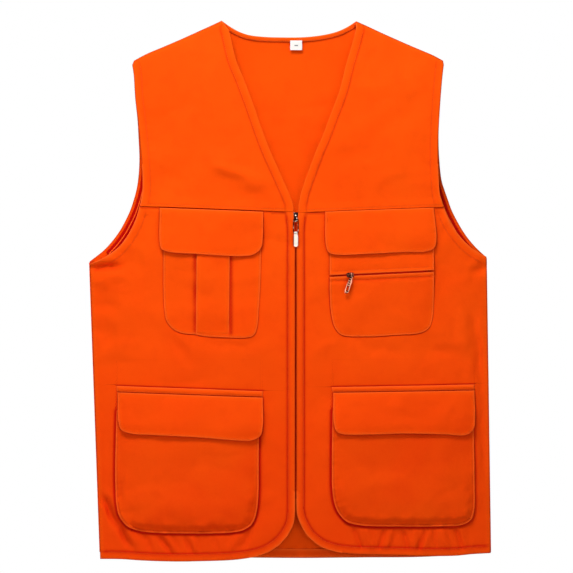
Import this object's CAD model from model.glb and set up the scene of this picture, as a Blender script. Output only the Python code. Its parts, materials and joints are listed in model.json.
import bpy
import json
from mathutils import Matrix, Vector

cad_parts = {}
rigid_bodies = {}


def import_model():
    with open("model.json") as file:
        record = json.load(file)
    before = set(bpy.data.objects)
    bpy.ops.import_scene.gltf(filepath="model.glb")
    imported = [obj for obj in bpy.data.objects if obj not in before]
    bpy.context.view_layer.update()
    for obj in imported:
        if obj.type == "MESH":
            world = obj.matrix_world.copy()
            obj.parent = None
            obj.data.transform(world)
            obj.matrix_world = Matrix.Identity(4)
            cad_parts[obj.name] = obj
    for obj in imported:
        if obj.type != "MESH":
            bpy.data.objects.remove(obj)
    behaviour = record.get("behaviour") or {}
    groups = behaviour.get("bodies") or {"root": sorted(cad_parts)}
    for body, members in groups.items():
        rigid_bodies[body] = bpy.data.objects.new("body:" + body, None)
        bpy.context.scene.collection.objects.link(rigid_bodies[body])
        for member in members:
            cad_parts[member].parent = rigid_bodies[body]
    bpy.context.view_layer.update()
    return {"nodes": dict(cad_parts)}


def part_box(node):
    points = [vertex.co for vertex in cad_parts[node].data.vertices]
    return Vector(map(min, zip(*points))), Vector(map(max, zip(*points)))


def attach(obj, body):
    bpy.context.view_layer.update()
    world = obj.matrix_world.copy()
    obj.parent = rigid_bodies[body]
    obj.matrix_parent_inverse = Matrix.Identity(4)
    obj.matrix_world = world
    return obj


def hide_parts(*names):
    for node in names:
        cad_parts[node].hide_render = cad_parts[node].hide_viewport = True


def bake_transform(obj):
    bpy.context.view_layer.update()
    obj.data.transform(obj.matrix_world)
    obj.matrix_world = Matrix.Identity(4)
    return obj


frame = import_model()
import json, math
import bpy, bmesh
import numpy as np
from mathutils import Vector, Matrix
from mathutils.geometry import delaunay_2d_cdt
from mathutils.kdtree import KDTree

scene = bpy.context.scene
# shift between the pattern's millimetres and the row frame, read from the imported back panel
_lo, _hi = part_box("back_panel")
SX, SY = _lo.x * 1000 + 260.9, _hi.y * 1000 - 17.7
EDGE_HALF, FRONT_DEPTH, BACK_DEPTH, SHOULDER_HALF, FALL = 4.0, 22.0, 14.0, 5.0, 190.0
XZ = 7.5
rng = np.random.RandomState(7)


def ss(a, b, v):
    t = np.clip((np.asarray(v, float) - a) / (b - a), 0, 1)
    return t * t * (3 - 2 * t)


def g(v, c, w):
    return np.exp(-(((v - c) / w) ** 2))


# ------------------------------------------------------------------ smooth noise on arrays
def _hash(ix, iy, seed):
    h = (ix.astype(np.int64) * 374761393 + iy.astype(np.int64) * 668265263 + seed * 1274126177) & 0xFFFFFFFF
    h = ((h ^ (h >> 13)) * 1274126177) & 0xFFFFFFFF
    h = h ^ (h >> 16)
    return (h & 0xFFFF) / 65536.0 * 2 * math.pi


def noise(x, y, seed=0):
    x, y = np.asarray(x, float), np.asarray(y, float)
    xi, yi = np.floor(x), np.floor(y)
    xf, yf = x - xi, y - yi
    u, v = xf ** 3 * (xf * (xf * 6 - 15) + 10), yf ** 3 * (yf * (yf * 6 - 15) + 10)
    out = 0.0
    for dx in (0, 1):
        for dy in (0, 1):
            a = _hash(xi + dx, yi + dy, seed)
            out = out + (np.cos(a) * (xf - dx) + np.sin(a) * (yf - dy)) * (u if dx else 1 - u) * (v if dy else 1 - v)
    return out * 1.5


def fbm(x, y, seed=0, octaves=3, gain=0.5):
    s, a, f = 0.0, 1.0, 1.0
    for k in range(octaves):
        s = s + a * noise(x * f, y * f, seed + 31 * k)
        a, f = a * gain, f * 2.03
    return s


# ------------------------------------------------------------------ shell surfaces (mm, outward positive)
SIDE_R = ((-261.0, 378.0), (-248.3, 27.0))
SIDE_L = ((256.2, 378.0), (261.6, 9.0))


def side_x(line, z):
    (xa, za), (xb, zb) = line
    return xa + (xb - xa) * (za - z) / (za - zb)


def u_of(x, z):
    zz = np.minimum(z, 378.0)
    w = np.where(x < 0, -side_x(SIDE_R, zz), side_x(SIDE_L, zz))
    return np.clip(np.abs(x) / w, 0, 1.02)


def shoulder_z(x):
    v = np.abs(x) - 87.0
    return 706.0 - 0.46 * 0.5 * (v + np.sqrt(v * v + 225.0))


def fall(x, z):
    q = np.minimum(1.0, (shoulder_z(x) - z) / FALL)
    return 1.0 - (1.0 - q) ** 3


def front(x, z):
    x, z = np.asarray(x, float), np.asarray(z, float)
    d = EDGE_HALF + FRONT_DEPTH * (1.0 - u_of(x, z) ** 2.6)
    return np.where(z > 450, SHOULDER_HALF + (d - SHOULDER_HALF) * fall(x, z), d)


def back(x, z):
    x, z = np.asarray(x, float), np.asarray(z, float)
    d = EDGE_HALF + BACK_DEPTH * (1.0 - u_of(x, z) ** 5)
    return np.where(z > 450, SHOULDER_HALF - 0.2 + (d - SHOULDER_HALF + 0.2) * fall(x, z), d)


# (x0, z0, x1, z1, amplitude, width) creases of the shell, outward positive
FOLDS_F = [
    (-106, 524, -34, 486, 3.3, 10), (-100, 498, -40, 466, -1.2, 12), (-85, 672, -60, 612, -1.4, 12),
    (-262, 381, -222, 384, -3.8, 5), (-258, 364, -218, 372, 2.2, 8), (-224, 392, -190, 386, -1.3, 9),
    (-252, 342, -220, 326, -1.7, 12), (-252, 306, -226, 288, -1.6, 11), (-158, 286, -122, 258, -1.6, 11),
    (-108, 283, -50, 280, -1.2, 7), (-30, 424, -8, 408, -0.9, 8),
    (-246, 84, -208, 20, -4.6, 5.0), (-232, 84, -200, 24, 2.4, 6.5), (-256, 96, -240, 60, 1.6, 5.0),
    (-172, 36, -154, 12, -2.4, 3.0), (-162, 36, -146, 12, 1.5, 3.0), (-137, 32, -128, 11, -2.0, 2.8), (-128, 33, -121, 12, 1.3, 3.0), (-190, 40, -180, 14, -1.4, 3.2),
    (-100, 34, -92, 12, -1.0, 3.4), (-64, 18, -50, 44, -1.6, 4.6), (-78, 15, -66, 40, 0.9, 4.5),
    (236, 318, 250, 214, -2.0, 7), (222, 330, 238, 240, 1.2, 8), (247, 200, 254, 120, -1.4, 6),
    (84, 45, 92, 17, -2.0, 3.2), (98, 44, 108, 16, 1.5, 3.4), (122, 42, 116, 17, -2.2, 3.0), (132, 42, 126, 17, 1.3, 3.0), (146, 41, 154, 16, -1.9, 3.0), (160, 41, 164, 16, 1.4, 3.0),
    (176, 41, 168, 17, -2.2, 3.1), (196, 42, 206, 18, 1.5, 3.4), (186, 42, 190, 18, -1.4, 3.0), (214, 44, 222, 18, -2.4, 3.4),
    (236, 372, 256, 384, -2.2, 6), (214, 388, 250, 362, 1.1, 9), (60, 500, 120, 520, 0.9, 12), (120, 560, 170, 600, -0.8, 16),
    (70, 286, 150, 268, -1.1, 10), (170, 282, 222, 262, -1.0, 11), (-190, 560, -120, 600, -0.9, 16),
]


def creases(x, z, folds):
    out = np.zeros(np.shape(x))
    for x0, z0, x1, z1, a, w in folds:
        a = a * (1.45 if max(z0, z1) < 50 else 1.0 if z0 in (521, 524) else 1.35)
        dx, dz = x1 - x0, z1 - z0
        L = math.hypot(dx, dz)
        t = ((x - x0) * dx + (z - z0) * dz) / (L * L)
        side = (-(x - x0) * dz + (z - z0) * dx) / L
        side = side + noise(x / 23.0, z / 23.0, 5) * w * 0.6
        taper = ss(-0.25, 0.3, t) * (1 - ss(0.7, 1.25, t))
        out = out + a * taper * (np.exp(-((side / w) ** 2)) - 0.35 * np.exp(-(((side - 1.7 * w) / (1.3 * w)) ** 2)))
    return out


FOLDS_B = [
    (-188, 392, -70, 268, 2.0, 13), (-200, 352, -96, 240, -1.6, 14), (196, 384, 84, 250, 2.0, 13), (206, 344, 110, 232, -1.5, 14),
    (-150, 196, -66, 70, 1.7, 12), (150, 190, 74, 66, 1.7, 12), (-236, 300, -206, 150, 1.4, 9), (236, 292, 212, 150, 1.4, 9),
    (-214, 120, -182, 26, 1.6, 8), (-150, 96, -132, 22, -1.4, 8), (196, 112, 172, 26, 1.6, 8), (138, 96, 128, 24, -1.3, 8),
]


def wrinkle_f(x, z):
    wx, wz = x + 18 * noise(x / 70, z / 70, 3), z + 18 * noise(x / 70, z / 70, 4)
    n = 2.3 * fbm(wx / 105, wz / 80, 11, 2) + 1.15 * fbm(wx / 46, wz / 38, 12, 2) + 0.16 * noise(wx / 14, wz / 14, 13)
    calm = 1 - 0.75 * g(x, XZ, 26)
    edge = 1 - 0.6 * ss(0.9, 1.0, u_of(x, z))
    side = 0.8 * noise(x / 22, z / 60, 14) * ss(0.74, 0.95, u_of(x, z)) * (z < 400)
    return (n * calm + side) * edge + creases(x, z, FOLDS_F)


def wrinkle_b(x, z):
    wx, wz = x + 22 * noise(x / 80, z / 80, 23), z + 22 * noise(x / 80, z / 80, 24)
    n = 1.3 * fbm(wx / 120, wz / 90, 21, 2) + 0.7 * fbm(wx / 50, wz / 36, 22, 2) + 0.14 * noise(wx / 15, wz / 15, 23)
    return n * (1 - 0.5 * ss(0.93, 1.0, u_of(x, z))) + creases(x, z, FOLDS_B)


_pl, _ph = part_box("zip_pull")
PULL_Z = (_pl.z * 1000, _ph.z * 1000)


def base_f(x, z):
    # the cloth lies a little lower where the pull tab rests on it
    rest = np.exp(-(((x - XZ) / 7.0) ** 4)) * ss(PULL_Z[0] - 7, PULL_Z[0] - 1.5, z) * (1 - ss(PULL_Z[1] - 4, PULL_Z[1] + 3, z))
    return front(x, z) + wrinkle_f(x, z) - 0.9 * rest


def base_b(x, z):
    near_hem = np.exp(-(((x - XZ) / 70.0) ** 2)) * (1 - ss(30, 120, z))
    ripple = 1.6 * np.cos((x - XZ + 8) / 7.0 + 0.4 * np.sin(z / 18.0)) * np.exp(-(((x - XZ) / 42.0) ** 2)) * (1 - ss(45, 100, z)) * ss(6, 22, z)
    return back(x, z) + wrinkle_b(x, z) - 10.0 * near_hem - ripple


# ------------------------------------------------------------------ patterns: outlines (x, z) in mm
SHOULDER_R = [(-89.0, 702.7), (-102.7, 696.2), (-115.7, 690.3), (-137.8, 680.2), (-163.8, 669.0), (-187.2, 659.1), (-203.0, 650.5)]
SHOULDER_L = [(86.0, 702.0), (100.0, 695.8), (120.9, 686.0), (145.6, 675.0), (170.3, 664.3), (185.9, 657.6), (199.0, 650.5)]
TIP_R, TIP_L = (-205.2, 645.0), (200.0, 645.0)
B_ARM_R = [TIP_R, (-203.6, 632.0), (-201.5, 599.3), (-198.9, 573.3), (-197.4, 547.3), (-196.5, 524.0), (-197.6, 501.8), (-200.2, 484.0),
           (-204.1, 469.3), (-208.5, 456.3), (-214.5, 443.3), (-221.6, 430.3), (-230.8, 417.3), (-242.5, 404.3), (-260.9, 389.5)]
B_ARM_L = [TIP_L, (198.7, 632.0), (196.3, 606.0), (194.7, 580.0), (193.9, 547.3), (195.0, 521.3), (197.9, 495.3), (201.8, 482.3),
           (206.3, 469.3), (211.0, 456.3), (217.5, 443.3), (224.9, 430.3), (234.0, 417.3), (245.0, 405.0), (255.9, 395.0)]
F_UP_R = [TIP_R, (-203.2, 632.0), (-200.9, 599.3), (-197.6, 573.3), (-195.0, 547.3), (-193.2, 528.0), (-191.6, 505.7), (-191.4, 480.0), (-193.6, 467.0), (-194.9, 461.8)]
F_UP_L = [TIP_L, (198.4, 632.0), (196.0, 606.0), (194.2, 580.0), (192.8, 553.8), (192.3, 530.0), (192.9, 500.0), (194.6, 477.1), (197.5, 466.0), (199.6, 460.6)]
F_LO_R = [(-195.1, 461.0), (-200.0, 444.6), (-209.3, 425.6), (-220.1, 410.8), (-233.1, 399.6), (-246.1, 392.2), (-260.4, 386.3)]
F_LO_L = [(199.9, 459.8), (207.1, 442.0), (216.3, 427.7), (227.5, 414.7), (240.5, 404.0), (255.5, 395.6)]
V_R = [(-79.3, 690.0), (-70.2, 651.3), (-59.8, 625.3), (-48.1, 594.1), (-36.4, 560.3), (-26.0, 533.0), (-14.3, 507.0), (0.0, 474.5), (4.0, 463.0), (4.6, 453.9)]
V_L = [(85.9, 691.7), (80.2, 670.0), (72.9, 645.6), (65.8, 616.6), (58.5, 595.0), (51.2, 576.2), (42.6, 553.0), (33.9, 532.9), (26.8, 514.0), (19.5, 493.9), (13.8, 476.6), (11.2, 462.0), (10.4, 453.2)]
NECK = [(-89.0, 702.7), (-76.7, 694.2), (-66.3, 688.6), (-53.3, 684.3), (-31.2, 681.9), (-8.0, 681.3), (13.0, 681.4), (31.2, 682.7), (49.4, 685.6), (63.7, 689.6), (76.7, 695.9), (86.0, 702.0)]
HEM_R = [(-246.8, 2.6), (-219.7, 2.6), (-192.4, 1.2), (-154.7, 0.2), (-110.0, 1.0), (-80.6, 2.2), (-62.4, 3.9), (-43.7, 7.2), (-28.6, 12.5), (-15.6, 20.8), (-6.5, 29.9), (0.9, 41.0), (5.2, 52.5), (6.7, 66.0)]
HEM_L = [(261.0, 10.2), (235.3, 9.0), (215.8, 7.4), (179.4, 7.2), (141.7, 8.4), (105.3, 9.4), (76.7, 10.6), (58.5, 13.4), (41.6, 19.0), (30.7, 26.4), (21.3, 35.6), (13.9, 48.5), (10.0, 58.0), (8.3, 68.0)]
HEM_B = [(-247.2, 4.2), (-180.0, 3.4), (-100.0, 3.1), (0.0, 3.1), (100.0, 3.2), (169.0, 3.9), (225.0, 7.0), (261.4, 10.6)]


def seam_z(x):
    x = np.asarray(x, float)
    return np.where(x < XZ, 461.4 + (x + 195.0) * (453.6 - 461.4) / 200.0, 460.2 + (x - 199.7) * (452.9 - 460.2) / (10.0 - 199.7))


def curve(pts, h=1.6):
    """A smooth run through the points, sampled about every h mm; a run of two points is straight."""
    p = [np.array(q, float) for q in pts]
    out = []
    if len(p) == 2:
        n = max(1, int(np.linalg.norm(p[1] - p[0]) / h))
        return [tuple(p[0] + (p[1] - p[0]) * i / n) for i in range(n + 1)]
    ext = [2 * p[0] - p[1]] + p + [2 * p[-1] - p[-2]]
    for k in range(1, len(ext) - 2):
        a, b, c, d = ext[k - 1:k + 3]
        n = max(1, int(np.linalg.norm(c - b) / h))
        ta = max(np.linalg.norm(b - a), 1e-6) ** 0.5
        tb = max(np.linalg.norm(c - b), 1e-6) ** 0.5
        tc = max(np.linalg.norm(d - c), 1e-6) ** 0.5
        m1 = (c - b) + tb * ((b - a) / ta - (c - a) / (ta + tb))
        m2 = (c - b) + tb * ((d - c) / tc - (d - b) / (tb + tc))
        for i in range(n):
            t = i / n
            out.append(tuple((2 * t ** 3 - 3 * t ** 2 + 1) * b + (t ** 3 - 2 * t ** 2 + t) * m1 + (-2 * t ** 3 + 3 * t ** 2) * c + (t ** 3 - t ** 2) * m2))
    out.append(tuple(p[-1]))
    return out


def inset(pts, d):
    """Shift an open polyline sideways by d, to the left of its direction seen from the front."""
    p = np.array(pts, float)
    t = np.gradient(p, axis=0)
    t /= np.linalg.norm(t, axis=1)[:, None] + 1e-9
    return p + np.stack([-t[:, 1], t[:, 0]], 1) * d


def inside(poly, pts):
    x, y = pts[:, 0], pts[:, 1]
    r = np.zeros(len(pts), bool)
    a = poly
    b = np.roll(poly, -1, axis=0)
    for (x0, y0), (x1, y1) in zip(a, b):
        if y0 == y1:
            continue
        hit = ((y0 > y) != (y1 > y)) & (x < (x1 - x0) * (y - y0) / (y1 - y0) + x0)
        r ^= hit
    return r


def near(pts, ref):
    """distance and index of the nearest reference point"""
    tree = KDTree(len(ref))
    for i, (a, b) in enumerate(ref):
        tree.insert((a, b, 0.0), i)
    tree.balance()
    dd, ii = np.zeros(len(pts)), np.zeros(len(pts), int)
    find = tree.find
    for k, (a, b) in enumerate(pts.tolist()):
        _, i, d = find((a, b, 0.0))
        dd[k], ii[k] = d, i
    return dd, ii


def new_object(name, verts, faces, mats, smooth=True, attrs=None):
    me = bpy.data.meshes.new(name)
    me.from_pydata([tuple(v) for v in verts], [], faces)
    me.validate()
    if smooth:
        me.shade_smooth()
    for m in mats:
        me.materials.append(m)
    for k, v in (attrs or {}).items():
        a = me.attributes.new(k, "FLOAT", "POINT")
        a.data.foreach_set("value", np.asarray(v, np.float32))
    ob = bpy.data.objects.new(name, me)
    scene.collection.objects.link(ob)
    return ob


def row(x, out, z, sign):
    """pattern coordinates to the row frame, metres; out is the distance outward from the mid plane"""
    return np.stack([(np.asarray(x) + SX) / 1000, (sign * np.asarray(out) + SY) / 1000, np.asarray(z) / 1000], 1)


class Sheet:
    """A piece of cloth cut to an outline and laid on a surface, with rounded, turned edges."""

    def __init__(self, runs, base, sign=-1, thick=1.0, relief=None, edges=None, lines=None):
        self.lines = lines
        self.runs = [curve(r) for r in runs]
        loop, ids = [], []
        for k, r in enumerate(self.runs):
            if loop and math.dist(loop[-1], r[0]) > 0.4:
                extra = curve([loop[-1], r[0]])[1:-1]
                loop += extra
                ids += [k] * len(extra)
            r = r if not loop or math.dist(loop[-1], r[0]) > 0.4 else r[1:]
            loop += r
            ids += [k] * len(r)
        if math.dist(loop[-1], loop[0]) > 0.4:
            extra = curve([loop[-1], loop[0]])[1:-1]
            loop += extra
            ids += [0] * len(extra)
        else:
            loop, ids = loop[:-1], ids[:-1]
        self.loop, self.ids = np.array(loop, float), np.array(ids)
        area = 0.5 * np.sum(self.loop[:, 0] * np.roll(self.loop[:, 1], -1) - np.roll(self.loop[:, 0], -1) * self.loop[:, 1])
        if area < 0:
            self.loop, self.ids = self.loop[::-1].copy(), self.ids[::-1].copy()
        # dense boundary samples for distances
        nxt = np.roll(self.loop, -1, axis=0)
        self.dense = np.concatenate([self.loop * (1 - t) + nxt * t for t in (0, 0.34, 0.67)])
        self.dense_id = np.tile(self.ids, 3)
        seg = np.linalg.norm(nxt - self.loop, axis=1)
        arc = np.concatenate([[0], np.cumsum(seg)[:-1]])
        self.arc = np.concatenate([arc + seg * t for t in (0, 0.34, 0.67)])
        self.base, self.sign, self.thick = base, sign, thick
        self.relief, self.edges = relief, edges or {}

    def parts(self, x, z):
        pts = np.stack([x, z], 1)
        d, i = near(pts, self.dense)
        return d, self.dense_id[i], self.arc[i]

    def outer(self, x, z, full=False):
        x, z = np.asarray(x, float), np.asarray(z, float)
        d, run, s = self.parts(x, z)
        y = self.base(x, z)
        cav = np.zeros(len(x))
        for k, e in self.edges.items():
            # weight of this run: distance to this run's own samples
            ks = k if isinstance(k, tuple) else (k,)
            sel = np.isin(self.dense_id, ks)
            k = ks[0]
            dk, ik = near(np.stack([x, z], 1), self.dense[sel])
            sk = self.arc[sel][ik]
            st = e.get("st")
            lift = e.get("lift", 0.4)
            if st:
                step = 1 - ss(st - 0.6, st + e.get("soft", 1.6), dk)
                y = y + lift * step
                gw = e.get("gw", 0.9)
                gd = e.get("gd", 0.45)
                gr = np.exp(-(((dk - st) / gw) ** 2))
                y = y - gd * gr
                pk = e.get("pk", 0.28)
                y = y + pk * noise(sk / 5.2, sk * 0 + 0.37 * k, 40 + k) * np.exp(-(((dk - st) / 5.5) ** 2)) * 1.6
                y = y + pk * 0.9 * noise(sk / 12.0, dk / 30.0, 60 + k) * np.exp(-(((dk - st - 4) / 12) ** 2))
                cav = np.maximum(cav, gr * e.get("cav", 0.6))
            if "drop" in e:
                y = y - e["drop"] * (1 - ss(0, e.get("dw", 6.0), dk))
        if self.relief:
            r = self.relief(x, z, d, run, s)
            if isinstance(r, tuple):
                y, cav = y + r[0], np.maximum(cav, r[1])
            else:
                y = y + r
        if full:
            tone = np.exp(-((d / 1.1) ** 2))
            for k, e in self.edges.items():
                if "tone" in e:
                    ks = k if isinstance(k, tuple) else (k,)
                    w = np.isin(run, ks)
                    t = e["tone"](x, z) if callable(e["tone"]) else e["tone"]
                    tone = np.where(w, tone * t, tone)
            return y, d, cav, tone
        return y

    def build(self, name, mats, h=2.8, rings=(), inner_mat=None):
        pts = [self.loop]
        t = np.roll(self.loop, -1, axis=0) - np.roll(self.loop, 1, axis=0)
        t /= np.linalg.norm(t, axis=1)[:, None]
        nrm = np.stack([-t[:, 1], t[:, 0]], 1)
        r = self.thick / 2
        offs = sorted(set([round(r * 0.35, 2), round(r * 1.0, 2), round(r * 2.2, 2)] + [o for c in rings for o in (c - 1.5, c - 0.6, c, c + 0.6, c + 1.5, c + 3.0)]))
        offs = [o for o in offs if o > 0.1]
        keep = [self.loop]
        last = 0.0
        for o in offs:
            q = self.loop + nrm * o
            d, _ = near(q, self.dense)
            ok = (d > o - 0.12) & inside(self.loop, q)
            q = q[ok]
            if len(q):
                keep.append(q)
                last = max(last, o)
        ring = np.concatenate(keep)
        lo, hi = self.loop.min(0), self.loop.max(0)
        gx, gz = np.meshgrid(np.arange(lo[0], hi[0], h), np.arange(lo[1], hi[1], h * 0.88))
        gx = gx + (np.arange(gx.shape[0]) % 2)[:, None] * h * 0.5
        grid = np.stack([gx.ravel(), gz.ravel()], 1)
        grid = grid[inside(self.loop, grid)]
        d, _ = near(grid, ring)
        grid = grid[d > h * 0.62]
        allp = np.concatenate([ring, grid])
        n0 = len(self.loop)
        edges = [(i, (i + 1) % n0) for i in range(n0)]
        res = delaunay_2d_cdt([Vector((float(a), float(b))) for a, b in allp], edges, [], 1, 1e-4)
        co = np.array([(v.x, v.y) for v in res[0]])
        tris = [tuple(f) for f in res[2]]
        y, d, cav, tone = self.outer(co[:, 0], co[:, 1], True)
        half = self.thick / 2
        prof = np.sqrt(np.clip(1 - (1 - np.clip(d / half, 0, 1)) ** 2, 0, 1))
        rim = d < 1e-3
        mid = y - half
        n = len(co)
        top = row(co[:, 0], mid + half * prof, co[:, 1], self.sign)
        idx = np.full(n, -1)
        inner_ids = np.where(~rim)[0]
        idx[inner_ids] = n + np.arange(len(inner_ids))
        idx[rim] = np.where(rim)[0]
        bot = row(co[inner_ids, 0], (mid - half * prof)[inner_ids], co[inner_ids, 1], self.sign)
        verts = np.concatenate([top, bot])
        cavs = np.concatenate([cav, cav[inner_ids]])
        dist = np.concatenate([d, d[inner_ids]])
        attrs = {"cav": cavs, "rim": dist, "tone": np.concatenate([tone, tone[inner_ids]])}
        for key, fn in (self.lines or {}).items():
            v = fn(co[:, 0], co[:, 1])
            attrs[key] = np.concatenate([v, v[inner_ids]])
        faces, mi = [], []
        for a, b, c in tris:
            ar = (co[b, 0] - co[a, 0]) * (co[c, 1] - co[a, 1]) - (co[c, 0] - co[a, 0]) * (co[b, 1] - co[a, 1])
            if abs(ar) < 1e-9:
                continue
            if ar < 0:
                b, c = c, b
            if self.sign < 0:
                faces.append((a, b, c)); mi.append(0)
                q = (int(idx[a]), int(idx[c]), int(idx[b]))
            else:
                faces.append((a, c, b)); mi.append(0)
                q = (int(idx[a]), int(idx[b]), int(idx[c]))
            if not (rim[a] and rim[b] and rim[c]):
                faces.append(q); mi.append(1 if inner_mat else 0)
            else:
                faces.pop(); mi.pop()
        ob = new_object(name, verts, faces, mats + ([inner_mat] if inner_mat else []), True, attrs)
        if inner_mat and len(ob.data.polygons) == len(mi):
            ob.data.polygons.foreach_set("material_index", mi)
        self.ob = ob
        return ob


STITCH = {}


def stitches(key, path_xz, outer, sign, pitch=3.0, length=2.2, rad=0.3, sink=0.1, skip=0.0):
    """Collect stitches along a path on a sheet: key names the bucket (one object per body)."""
    p = np.array(path_xz, float)
    seg = np.linalg.norm(np.diff(p, axis=0), axis=1)
    s = np.concatenate([[0], np.cumsum(seg)])
    n = int((s[-1] - 2 * skip) / pitch)
    if n < 1:
        return
    mid = skip + (np.arange(n) + 0.5) * pitch
    a, b = mid - length / 2, mid + length / 2
    fx = lambda t: np.interp(t, s, p[:, 0])
    fz = lambda t: np.interp(t, s, p[:, 1])
    pa, pm, pb = [np.stack([fx(t), fz(t)], 1) for t in (a, mid, b)]
    ya, ym, yb = [outer(q[:, 0], q[:, 1]) for q in (pa, pm, pb)]
    A, M, B = row(pa[:, 0], ya - 0.15, pa[:, 1], sign), row(pm[:, 0], ym + rad * 0.75 - sink, pm[:, 1], sign), row(pb[:, 0], yb - 0.15, pb[:, 1], sign)
    STITCH.setdefault(key, []).append((A, M, B, rad / 1000))


def flush_stitches(mat):
    obs = {}
    for key, groups in STITCH.items():
        verts, faces = [], []
        for A, M, B, r in groups:
            for a, m, b in zip(A, M, B):
                d = b - a
                L = np.linalg.norm(d)
                d = d / L
                up = np.array([0, -1.0, 0])
                u = np.cross(d, up)
                u /= np.linalg.norm(u) + 1e-12
                v = np.cross(u, d)
                base = len(verts)
                for t, rr in ((0.0, 0.35), (0.22, 0.92), (0.5, 1.0), (0.78, 0.92), (1.0, 0.35)):
                    c = (1 - t) ** 2 * a + 2 * t * (1 - t) * (2 * m - 0.5 * (a + b)) + t * t * b
                    for k in range(6):
                        ang = k * math.pi / 3
                        verts.append(c + (u * math.cos(ang) + v * math.sin(ang)) * r * rr)
                for ring_ in range(4):
                    for k in range(6):
                        i0, i1 = base + ring_ * 6 + k, base + ring_ * 6 + (k + 1) % 6
                        faces.append((i0, i1, i1 + 6, i0 + 6))
                faces.append(tuple(base + k for k in range(5, -1, -1)))
                faces.append(tuple(base + 24 + k for k in range(6)))
        obs[key] = new_object("stitching_" + key, verts, faces, [mat])
    return obs


# ------------------------------------------------------------------ materials
def lin(c):
    return tuple(((v / 255 + 0.055) / 1.055) ** 2.4 if v > 10 else v / 255 / 12.92 for v in c) + (1.0,)


DEEP = lin((190, 11, 0))
RIM = lin((255, 112, 44))
OUTLINE = lin((178, 52, 10))
LOW = lin((231, 50, 0))


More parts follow.
